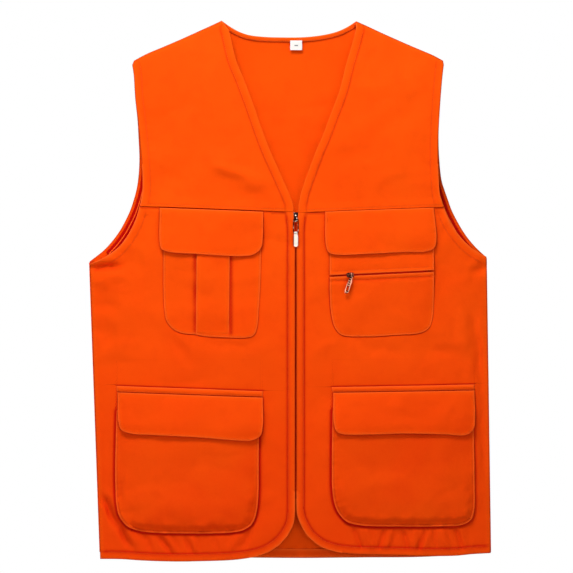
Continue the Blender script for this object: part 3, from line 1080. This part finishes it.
# ------------------------------------------------------------------ flaps
def flap(name, side, top, low, t_top, t_low, hgt, corner_puff=1.6):
    """top: the two upper corners; low: the rest of the outline from the second corner round to the first"""
    runs = [top, low]
    za = 0.5 * (top[0][1] + top[1][1])

    def base(x, z):
        q = np.clip((za - z) / hgt, 0, 1.1)
        return base_f(x, z) * 1.0 + t_top + (t_low - t_top) * ss(-0.1, 0.9, q)

    def relief(x, z, d, run, s):
        xm = 0.5 * (top[0][0] + top[1][0])
        wdt = abs(top[1][0] - top[0][0]) / 2
        q = np.clip((za - z) / hgt, 0, 1)
        curl = 0.9 * ss(0.55, 1.0, q) * np.cos((x - xm) / wdt * 2.4 + 0.6)
        return corner_puff * ss(0, 14, d) * (1 - 0.3 * q) + 0.3 * noise(x / 30, z / 22, 97) + curl * 0.8 + 0.22 * noise(x / 9.0, z / 12.0, 98) * np.exp(-d / 8.0)

    sheet = Sheet(runs, base, -1, 1.9, relief, {1: {"st": 2.6, "lift": 0.3, "soft": 1.2, "gd": 0.2, "gw": 0.7, "pk": 0.25, "cav": 0.08}})
    ob = sheet.build(name + "_flap_cloth", [SHELL], 2.6, (2.6,), FACING)
    body = (RF if side == "right" else LF)
    zt = (top[0][1] + top[1][1]) / 2000
    place(ob, None, [name + "_flap"], bend=(body, name + "_flap", (0, 0, zt + 0.0005), (0, 0, zt - 0.009)))
    stitch_run(name + "_flap", sheet, 1, 2.4)
    xs = np.linspace(top[0][0] + 4, top[1][0] - 4, 40)
    return sheet


FL = {}
FL["right_chest"] = flap("right_chest", "right", *FLAP["right_chest"], 2.4, 6.2, 58, 0.9)
FL["left_chest"] = flap("left_chest", "left", *FLAP["left_chest"], 2.4, 5.4, 58, 0.9)


# ------------------------------------------------------------------ cargo pockets
def cargo(side):
    R = side == "right"
    outline = CG_R if R else CG_L
    k = 1 if R else -1
    body = RF if R else LF
    path = np.array(curve(outline, 2.2))
    inner = inset(path, 0.3 * k)

    def stand(z):
        return 2.2 + 1.6 * (1 - ss(90, 198, z)) * ss(30, 62, z)

    def base(x, z):
        return base_f(x, z) + stand(z)

    def relief(x, z, d, run, s):
        low = 1 - ss(70, 130, z)
        r = (0.8 + 3.8 * low) * ss(2.0, 12.0 + 5 * (1 - low), d) + 1.2 * ss(8, 34, d)
        r = r + 0.8 * noise(x / 38, z / 34, 101 + k) + (0.6 + 1.0 * low) * noise(x / 13, z / 19, 102 + k) * np.exp(-np.abs(d - 8) / 9.0) * ss(2, 6, d)
        r = r + 1.2 * low * noise(s / 9.0, d / 22.0, 103 + k) * g(d, 9, 6) - 0.9 * g(z, 96, 16) * ss(8, 24, d)
        cav = (0.35 + 0.4 * low) * g(d, 2.6, 0.9)
        return r, cav

    face = Sheet([[tuple(p) for p in inner[::3]] + [tuple(inner[-1])], [tuple(inner[-1]), tuple(inner[0])]], base, -1, 1.2, relief,
                 {0: {"st": 2.2, "lift": 0.1, "soft": 1.0, "gd": 0.3, "gw": 0.7, "pk": 0.4, "cav": 0.12}})
    ob = face.build(side + "_cargo_pocket_cloth", [CARGO], 2.8, (2.2,))
    place(ob, body, [side + "_cargo_pocket"])
    stitch_run(side + "_front", face, 0, 2.2)
    # bellows: flange on the panel, fold inward, fold back out to the face's edge
    t = np.gradient(path, axis=0)
    t /= np.linalg.norm(t, axis=1)[:, None]
    nrm = np.stack([-t[:, 1], t[:, 0]], 1) * k
    prof = [(0.4, 0.55, 0), (1.0, 0.9, 0), (1.8, 1.1, 0), (2.8, 1.5, 0.06), (4.8, 2.2, 0.16), (7.0, 3.0, 0.30), (8.2, 3.6, 0.42), (8.0, 4.2, 0.52), (6.0, 4.6, 0.66), (3.2, 5.0, 0.84), (1.6, 5.2, 0.94), (1.8, 5.3, 0.98), (4.6, 5.2, 1.0)]
    outer_, inner_ = [], []
    q0 = row
    verts, faces = [], []
    m = len(prof)
    n = len(path)
    arc = np.concatenate([[0], np.cumsum(np.linalg.norm(np.diff(path, axis=0), axis=1))])
    wob = noise(arc / 17.0, arc * 0, 105)
    wob2 = noise(arc / 7.0, arc * 0, 106)
    layers = []
    for th in (0.0, -0.7):
        L = []
        for (off, _, f) in prof:
            q = path + nrm * (off + (wob * 0.8 + wob2 * 0.3) * (0.3 < f < 0.7))[:, None] if np.ndim(off) else path + nrm * (off + ((wob * 0.8 + wob2 * 0.3) if 0.3 < f < 0.7 else 0 * wob))[:, None]
            top_y = face.outer(np.clip(inner[:, 0], -1e9, 1e9), inner[:, 1]) - 1.0
            bot_y = base_f(q[:, 0], q[:, 1]) + 1.1
            y = bot_y * (1 - f) + top_y * f
            if f == 0:
                y = base_f(q[:, 0], q[:, 1]) + _
            L.append(row(q[:, 0], y + th, q[:, 1], -1))
        layers.append(L)
    for L in layers:
        for r in L:
            verts += list(r)
    def vid(layer, j, i):
        return layer * m * n + j * n + i
    for j in range(m - 1):
        for i in range(n - 1):
            a, b, c, d = vid(0, j, i), vid(0, j, i + 1), vid(0, j + 1, i + 1), vid(0, j + 1, i)
            faces.append((a, b, c, d) if R else (a, d, c, b))
            a, b, c, d = vid(1, j, i), vid(1, j, i + 1), vid(1, j + 1, i + 1), vid(1, j + 1, i)
            faces.append((a, d, c, b) if R else (a, b, c, d))
    for i in range(n - 1):
        for j, fl in ((0, False), (m - 1, True)):
            a, b, c, d = vid(0, j, i), vid(0, j, i + 1), vid(1, j, i + 1), vid(1, j, i)
            faces.append((a, b, c, d) if (fl == R) else (a, d, c, b))
    for j in range(m - 1):
        for i, fl in ((0, True), (n - 1, False)):
            a, b, c, d = vid(0, j, i), vid(0, j + 1, i), vid(1, j + 1, i), vid(1, j, i)
            faces.append((a, b, c, d) if (fl == R) else (a, d, c, b))
    gob = new_object(side + "_cargo_bellows_cloth", verts, faces, [SHELL])
    bm = bmesh.new(); bm.from_mesh(gob.data); bmesh.ops.recalc_face_normals(bm, faces=bm.faces); bm.to_mesh(gob.data); bm.free()
    gob.data.shade_smooth()
    place(gob, body, [side + "_cargo_gusset"])
    return face


CG = {s: cargo(s) for s in ("right", "left")}
FL["right_cargo"] = flap("right_cargo", "right", *FLAP["right_cargo"], 1.8, 8.4, 56, 1.2)
FL["left_cargo"] = flap("left_cargo", "left", *FLAP["left_cargo"], 1.8, 8.4, 56, 1.2)


def welt(name, side, quad):
    """the narrow rolled strip above a cargo flap"""
    (x0, z0), (x1, z1), (x2, z2), (x3, z3) = quad

    def relief(x, z, d, run, s):
        return 1.5 * np.sqrt(np.clip(ss(0, 3.8, d), 0, 1)) + 0.15 * noise(x / 9, z / 9, 110)

    sh = Sheet([[quad[0], quad[1]], [quad[1], quad[2]], [quad[2], quad[3]], [quad[3], quad[0]]], on_front(side, 1.0), -1, 1.2, relief, {})
    place(sh.build(name, [SHELL], 1.8, (2.4,)), RF if side == "right" else LF, [name.replace("_cloth", "")])


welt("right_cargo_welt_cloth", "right", [(-225.0, 220.2), (-35.1, 213.7), (-35.1, 221.4), (-225.3, 227.9)])
welt("left_cargo_welt_cloth", "left", [(55.0, 220.0), (239.7, 222.6), (239.6, 229.7), (53.8, 226.6)])


# ------------------------------------------------------------------ hidden and inner cloth
def strip_runs(pts, d0, d1):
    c = curve(pts, 4.0)
    a, b = inset(c, d0), inset(c, d1)[::-1]
    return [[tuple(p) for p in a], [tuple(a[-1]), tuple(b[0])], [tuple(p) for p in b], [tuple(b[-1]), tuple(a[0])]]


def cover(name, path, k, body=None, bend=None):
    """the folded cloth that joins the front and the back along a seam at the garment's edge"""
    q = np.array(curve(path, 4.0))
    t = np.gradient(q, axis=0)
    t /= np.linalg.norm(t, axis=1)[:, None]
    nn = np.stack([t[:, 1], -t[:, 0]], 1)
    mid_x = XZ
    flip = np.sum(nn * (q - np.array([mid_x, 300.0])), 1).mean() < 0
    nn = -nn if flip else nn
    of, ob_ = base_f(q[:, 0], q[:, 1]) - 0.55, -(base_b(q[:, 0], q[:, 1]) - 0.6)
    m, n = 7, len(q)
    verts, faces, cv = [], [], []
    for th in (0.0, -0.9):
        for j in range(m):
            f = j / (m - 1)
            o = 0.35 * math.sin(math.pi * f) + th - 0.15
            w = q + nn * o
            out = ob_ * (1 - f) + of * f
            verts += list(row(w[:, 0], out, w[:, 1], -1))
            cv += [0.45 * math.exp(-(((f - 0.5) / 0.12) ** 2))] * n
    vid = lambda l, j, i: l * m * n + j * n + i
    for l in (0, 1):
        for j in range(m - 1):
            for i in range(n - 1):
                a = (vid(l, j, i), vid(l, j, i + 1), vid(l, j + 1, i + 1), vid(l, j + 1, i))
                faces.append(a if l == 0 else a[::-1])
    for i in range(n - 1):
        for j in (0, m - 1):
            faces.append((vid(0, j, i), vid(0, j, i + 1), vid(1, j, i + 1), vid(1, j, i)))
    for j in range(m - 1):
        for i in (0, n - 1):
            faces.append((vid(0, j, i), vid(0, j + 1, i), vid(1, j + 1, i), vid(1, j, i)))
    ob = new_object(name, verts, faces, [SHELL], True, {"cav": np.array(cv), "rim": np.full(len(verts), 9.0), "tone": np.zeros(len(verts))})
    bm = bmesh.new(); bm.from_mesh(ob.data); bmesh.ops.recalc_face_normals(bm, faces=bm.faces); bm.to_mesh(ob.data); bm.free()
    ob.data.shade_smooth()
    if bend == "side":
        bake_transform(ob)
    else:
        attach(ob, body)
    return ob


def under_f(t):
    return lambda x, z: base_f(x, z) - t


def under_b(t):
    return lambda x, z: base_b(x, z) - t


def simple(name, node, runs, base, sign, thick, mat, body, bend=None, h=4.0, relief=None, tone=1.0):
    sh = Sheet(runs, base, sign, thick, relief, {tuple(range(len(runs))): {"tone": tone}})
    return place(sh.build(name, [mat], h), body, [node] if isinstance(node, str) else node, bend)


for side, k in (("right", 1), ("left", -1)):
    xa, xb = (V_R[-1][0] - 3.0, F_UP_R[-1][0] + 1.5) if k == 1 else (V_L[-1][0] + 3.0, F_UP_L[-1][0] - 1.5)
    xs_ = np.linspace(xa, xb, 9)
    up_ = [(float(a), float(seam_z(a)) + 4.0) for a in xs_]
    dn_ = [(float(a), float(seam_z(a)) - 7.0) for a in xs_[::-1]]
    simple(side + "_yoke_seam_tape", [], [up_, [up_[-1], dn_[0]], dn_, [dn_[-1], up_[0]]], lambda x, z: base_f(x, z) - 1.15, -1, 0.7, FACING, None, yoke_bend(RF if k == 1 else LF), tone=0.0)
    v, up, lo_ = (V_R, F_UP_R, F_LO_R) if k == 1 else (V_L, F_UP_L, F_LO_L)
    body = RF if k == 1 else LF
    simple(side + "_neck_facing_cloth", side + "_neck_facing", strip_runs(v[1:-2], -0.9 * k, -26.0 * k), under_f(1.3), -1, 0.8, FACING, None, yoke_bend(body))
    simple(side + "_upper_armhole_facing_cloth", side + "_upper_armhole_facing", strip_runs(up[1:-2], 0.9 * k, 20.0 * k), under_f(1.3), -1, 0.8, FACING, None, yoke_bend(body))
    simple(side + "_lower_armhole_facing_cloth", side + "_lower_armhole_facing", strip_runs([p for p in lo_[:-1]], 1.0 * k, 18.0 * k), under_f(1.3), -1, 0.8, FACING, body)
    hem = HEM_R if k == 1 else HEM_L
    xe = XZ - 0.9 * k
    pts = hem[1:-1] + [(xe, hem[-1][1] + 4), (xe, 160.0), (xe, 300.0), (xe, 438.0)]
    simple(side + "_front_facing_cloth", side + "_front_facing", strip_runs(pts, 4.0 * k, 18.0 * k), under_f(1.3), -1, 0.8, FACING, body)
    b_arm = B_ARM_R if k == 1 else B_ARM_L
    simple(side + "_back_armhole_facing_cloth", side + "_back_armhole_facing", strip_runs(b_arm[1:-1], 4.0 * k, 19.0 * k), under_b(1.4), 1, 1.0, SHADE, "back", tone=0.0)
    low_arm = [p for p in b_arm if p[1] < 520]
    simple(side + "_back_armhole_binding", [], strip_runs(low_arm[:-1], 7.4 * k, 9.0 * k), lambda x, z: -(base_b(x, z) - 2.6), -1, 0.8, SHELL, "back", h=2.0)
    sh_ = SHOULDER_R if k == 1 else SHOULDER_L
    simple(side + "_shoulder_seam_cloth", side + "_shoulder_seam", strip_runs(sh_[:], 0.6 * k, 6.5 * k), lambda x, z: 0 * x + 1.9, -1, 3.8, SHELL, "back", tone=-1.0)
    line = SIDE_R if k == 1 else SIDE_L
    cover(side + "_side_edge_cloth", [(float(side_x(line, z)), z) for z in np.linspace(388.0 if k == 1 else 394.0, 11.5, 60)], k, body, "side")
    cover(side + "_shoulder_edge_cloth", sh_, k, "back")
    a = [(side_x(line, z) + 0.5 * k, z) for z in (380.0, 16.0)]
    b = [(side_x(line, z) + 8.0 * k, z) for z in (16.0, 380.0)]
    simple(side + "_side_seam_cloth", side + "_side_seam", [a, [a[1], b[0]], b, [b[1], a[0]]], lambda x, z: 0 * x + 1.3, -1, 2.6, SHELL, "back", tone=-1.0)
    xs = sorted((XZ + 5.3 * -k, XZ + 20.0 * -k))
    r = [[(xs[0], 88.0), (xs[1], 88.0)], [(xs[1], 88.0), (xs[1], 451.0)], [(xs[1], 451.0), (xs[0], 451.0)], [(xs[0], 451.0), (xs[0], 88.0)]]
    simple(side + "_zip_tape_cloth", side + "_zip_tape", r, lambda x, z: 0 * x + 22.3, -1, 0.9, TAPE, body)

simple("back_hem_facing_cloth", "back_hem_facing", strip_runs(HEM_B, 1.0, 12.0), under_b(1.4), 1, 0.8, FACING, "back")


def band_relief(x, z, d, run, s):
    return 0.5 * ss(0, 2.2, d)


band = Sheet(strip_runs(NECK[1:-1], 0.6, -6.0), under_b(1.4), 1, 1.2, None, {})
# the band stands on the inside of the back, so it is built facing forward
def band_base(x, z):
    return -(base_b(x, z) - 1.35) + 1.3


band = Sheet(strip_runs(NECK, 0.2, -5.6), band_base, -1, 1.5, band_relief, {})
place(band.build("back_neck_band_cloth", [SHELL], 2.0, (1.4,)), "back", ["back_neck_band"])
p = inset(curve(NECK, 2.0), -4.6)
stitches("back", p[6:-6], band.outer, -1, pitch=2.8, length=2.0)

# label: a woven tag with one plain grey bar
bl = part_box("size_label")
lx0, lx1, lz0, lz1 = bl[0].x * 1000 - SX, bl[1].x * 1000 - SX, bl[0].z * 1000, bl[1].z * 1000
ly = -(bl[0].y * 1000 - SY)
lab = Sheet([[(lx0, lz1), (lx0, lz0)], [(lx0, lz0), (lx1, lz0)], [(lx1, lz0), (lx1, lz1)], [(lx1, lz1), (lx0, lz1)]], lambda x, z: 0 * x + ly + 0.25 * np.sin((x - lx0) / 5.0), -1, 0.55, None, {})
place(lab.build("size_label_cloth", [LABEL], 1.2), "size_label", ["size_label"])
cx, cz = (lx0 + lx1) / 2, (lz0 + lz1) / 2 - 0.3
mk = Sheet([[(cx - 2.2, cz + 0.7), (cx - 2.2, cz - 0.7)], [(cx - 2.2, cz - 0.7), (cx + 2.2, cz - 0.7)], [(cx + 2.2, cz - 0.7), (cx + 2.2, cz + 0.7)], [(cx + 2.2, cz + 0.7), (cx - 2.2, cz + 0.7)]], lambda x, z: 0 * x + ly + 0.12 + 0.25 * np.sin((x - lx0) / 5.0), -1, 0.2, None, {})
place(mk.build("size_label_mark", [GREY], 0.8), "size_label", [])

# chest zip tape, in the plane of the pocket
x0, x1 = 56.0, 183.0


def tape_base(x, z):
    return ch_plane(x, z) - 0.2


tp = [[(x0, float(zc(x0)) - 9.5), (x1, float(zc(x1)) - 9.5)], [(x1, float(zc(x1)) - 9.5), (x1, float(zc(x1)) - 2.6)], [(x1, float(zc(x1)) - 2.6), (x0, float(zc(x0)) - 2.6)], [(x0, float(zc(x0)) - 2.6), (x0, float(zc(x0)) - 9.5)]]
simple("chest_zip_tape_lower_cloth", "chest_zip_tape", tp, tape_base, -1, 0.8, TAPE, LF)
tp = [[(x0, float(zc(x0)) + 2.6), (x1, float(zc(x1)) + 2.6)], [(x1, float(zc(x1)) + 2.6), (x1, float(zc(x1)) + 9.5)], [(x1, float(zc(x1)) + 9.5), (x0, float(zc(x0)) + 9.5)], [(x0, float(zc(x0)) + 9.5), (x0, float(zc(x0)) + 2.6)]]
ob = Sheet(tp, tape_base, -1, 0.8, None, {}).build("chest_zip_tape_upper_cloth", [TAPE], 4.0)
place(ob, LF, [])

# closures under the flaps
for n in ("right_chest", "left_chest", "right_cargo", "left_cargo"):
    for kind, body in (("hook", n + "_flap"), ("loop", RF if n.startswith("right") else LF)):
        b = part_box(n + "_" + kind + "_patch")
        a0, a1, c0, c1 = b[0].x * 1000 - SX, b[1].x * 1000 - SX, b[0].z * 1000, b[1].z * 1000
        if kind == "hook":
            sheet = FL[n]
            bs = lambda x, z, sheet=sheet, q=1.5 if n == "right_chest" else 1.8: sheet.outer(x, z) - q
            sg = -1
        else:
            under = {"right_chest": pl_sheet, "left_chest": up_sheet, "right_cargo": CG["right"], "left_cargo": CG["left"]}[n]
            bs = lambda x, z, under=under, q=0.15 if n == "right_chest" else 0.65: under.outer(x, z) + q
        rr = [[(a0, c1), (a0, c0)], [(a0, c0), (a1, c0)], [(a1, c0), (a1, c1)], [(a1, c1), (a0, c1)]]
        simple(n + "_" + kind + "_patch_cloth", n + "_" + kind + "_patch", rr, bs, -1, 0.4 if (n, kind) == ("right_chest", "hook") else 0.7, NAP, body)

# ------------------------------------------------------------------ stitching
for key, ob in flush_stitches(THREAD).items():
    if key.endswith("_yoke"):
        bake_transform(ob)
    elif key.endswith("_flap"):
        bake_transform(ob)
    else:
        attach(ob, {"back": "back", "right_front": RF, "left_front": LF}[key])

# ------------------------------------------------------------------ stage, light, camera
me = bpy.data.meshes.new("floor")
s = 2.6
me.from_pydata([(-s, -s, -0.05), (s, -s, -0.05), (s, s, -0.05), (-s, s, -0.05)], [], [(0, 1, 2, 3)])
floor = bpy.data.objects.new("floor", me)
scene.collection.objects.link(floor)
fm = bpy.data.materials.new("floor")
fm.use_nodes = True
ft = fm.node_tree
fp = ft.nodes["Principled BSDF"]
fp.inputs["Base Color"].default_value = (0.45, 0.45, 0.45, 1)
fp.inputs["Roughness"].default_value = 0.9
fp.inputs["Specular IOR Level"].default_value = 0.1
fe = ft.nodes.new("ShaderNodeEmission")
fl = ft.nodes.new("ShaderNodeLightPath")
fx = ft.nodes.new("ShaderNodeMixShader")
ft.links.new(fl.outputs["Is Camera Ray"], fx.inputs[0])
ft.links.new(fp.outputs[0], fx.inputs[1])
ft.links.new(fe.outputs[0], fx.inputs[2])
ft.links.new(fx.outputs[0], ft.nodes["Material Output"].inputs[0])
me.materials.append(fm)

w = bpy.data.worlds.new("studio")
scene.world = w
w.use_nodes = True
nt = w.node_tree
bg = nt.nodes["Background"]
bg.inputs[0].default_value = (1, 1, 1, 1)
bg.inputs[1].default_value = 0.17
bg2 = nt.nodes.new("ShaderNodeBackground")
bg2.inputs[0].default_value = (1, 1, 1, 1)
bg2.inputs[1].default_value = 1.0
lp = nt.nodes.new("ShaderNodeLightPath")
mxs = nt.nodes.new("ShaderNodeMixShader")
nt.links.new(lp.outputs["Is Camera Ray"], mxs.inputs[0])
gm = nt.nodes.new("ShaderNodeMixShader")
bg3 = nt.nodes.new("ShaderNodeBackground")
wt = nt.nodes.new("ShaderNodeTexCoord")
wn = nt.nodes.new("ShaderNodeTexNoise")
wn.inputs["Scale"].default_value = 2.2
wr = nt.nodes.new("ShaderNodeMapRange")
wr.inputs[1].default_value, wr.inputs[2].default_value = 0.44, 0.56
wr.inputs[3].default_value, wr.inputs[4].default_value = 0.03, 0.95
nt.links.new(wt.outputs["Generated"], wn.inputs["Vector"])
nt.links.new(wn.outputs[0], wr.inputs[0])
nt.links.new(wr.outputs[0], bg3.inputs[1])
bg3.inputs[0].default_value = (1, 1, 1, 1)
nt.links.new(lp.outputs["Is Glossy Ray"], gm.inputs[0])
nt.links.new(bg.outputs[0], gm.inputs[1])
nt.links.new(bg3.outputs[0], gm.inputs[2])
nt.links.new(gm.outputs[0], mxs.inputs[1])
nt.links.new(bg2.outputs[0], mxs.inputs[2])
nt.links.new(mxs.outputs[0], nt.nodes["World Output"].inputs[0])


def area(name, loc, target, size, power):
    L = bpy.data.lights.new(name, "AREA")
    L.shape = "RECTANGLE"
    L.size, L.size_y = size
    L.energy = power
    o = bpy.data.objects.new(name, L)
    scene.collection.objects.link(o)
    o.location = loc
    o.rotation_euler = (Vector(target) - Vector(loc)).to_track_quat("-Z", "Y").to_euler()
    return o


area("key", (-0.34, -1.2, 1.98), (0, 0, 0.42), (0.75, 0.5), 33)
area("fill", (0.15, -2.9, 0.10), (0, 0, 0.28), (1.5, 1.1), 36)
area("rear", (-1.5, 1.5, 1.7), (0, 0, 0.38), (1.1, 0.9), 58)

cam = bpy.data.cameras.new("camera")
cam.lens = 260
cam.sensor_width = 36
co = bpy.data.objects.new("camera", cam)
scene.collection.objects.link(co)
dist = 0.745 / 36 * 260
co.location = ((-4.55 + SX) / 1000, 0.006 - dist, 0.3569)
co.rotation_euler = (math.pi / 2, 0, 0)
cam.clip_end = 50
scene.camera = co
scene.view_settings.view_transform = "Standard"
scene.view_settings.look = "None"
